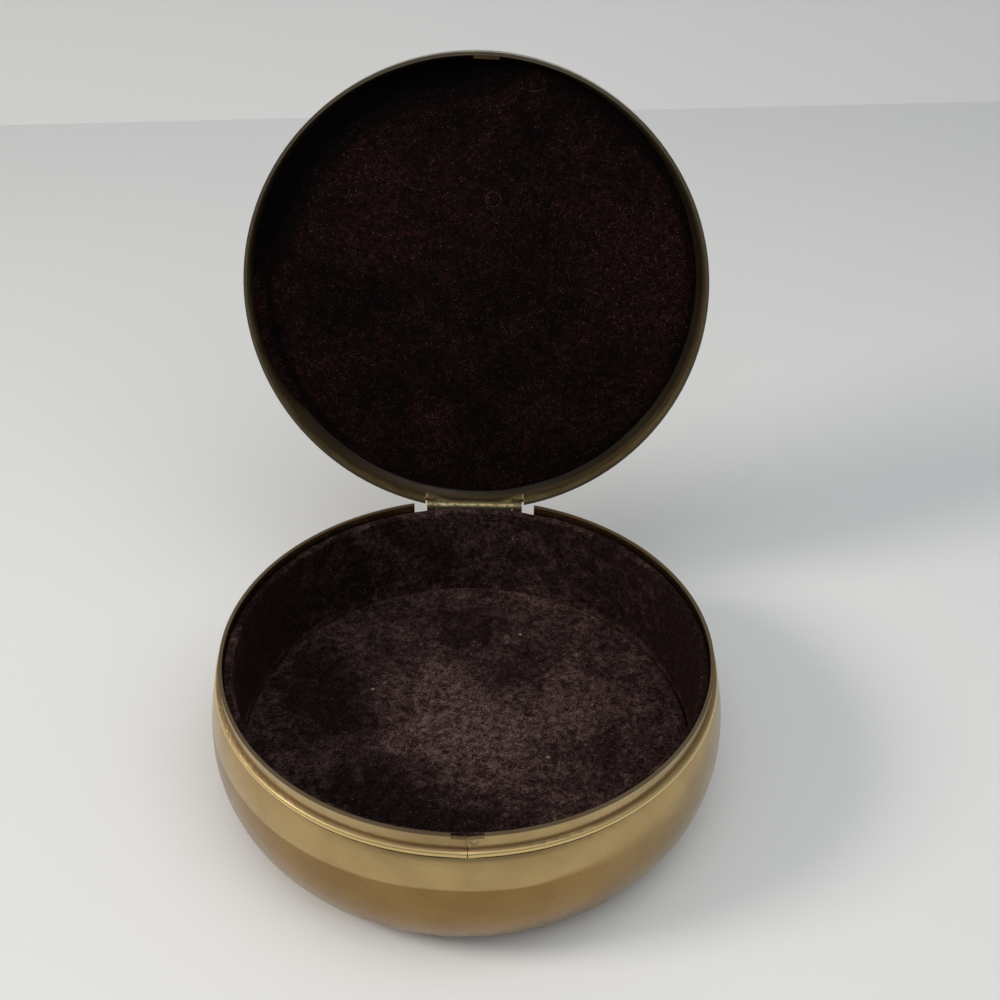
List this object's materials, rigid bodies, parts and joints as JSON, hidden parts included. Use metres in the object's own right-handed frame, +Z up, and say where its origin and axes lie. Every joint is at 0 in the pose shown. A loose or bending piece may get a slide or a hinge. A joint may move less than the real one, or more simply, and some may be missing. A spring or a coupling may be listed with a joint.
{
  "type": "trinket box",
  "caption": "Round brass trinket box with a beaded collar, a hinged dished lid swung open and a dark brown velvet lining in base and lid.",
  "frame": {"origin": "centre of the flat underside, on the table", "axes": "+Z up, -Y towards the front, the hinge at +Y and its axis along X"},
  "size_m": [0.1318, 0.166, 0.1635],
  "materials": {
    "brass_bowl": "lightly tarnished, brushed by wear",
    "brass_collar": "lightly tarnished",
    "brass_hinge": "dull",
    "hinge_pin_wire": "dull",
    "brass_lid_band": "tarnished",
    "brass_lid": "tarnished",
    "lining_card": "plain",
    "lining_wadding": "soft wadding",
    "base_velvet": "cut pile, matt",
    "lid_velvet": "cut pile, matt"
  },
  "bodies": {
    "base": {"bowl_shell": "brass_bowl", "rim_band": "brass_collar", "base_hinge_leaf": "brass_hinge", "hinge_pin": "hinge_pin_wire", "base_floor_card": "lining_card", "base_floor_padding": "lining_wadding", "base_floor_velvet": "base_velvet", "base_wall_card": "lining_card", "base_wall_velvet": "base_velvet"},
    "lid": {"lid_rim_band": "brass_lid_band", "lid_shell": "brass_lid", "lid_hinge_leaf": "brass_hinge", "lid_catch_tab": "brass_hinge", "lid_panel_card": "lining_card", "lid_panel_padding": "lining_wadding", "lid_panel_velvet": "lid_velvet"}
  },
  "joints": [
    {"name": "lid_hinge", "type": "hinge", "parent": "base", "child": "lid", "pos_m": [0, 0.0631, 0.04], "axis": [1, 0, 0], "range_deg": [0, 103.7]}
  ]
}
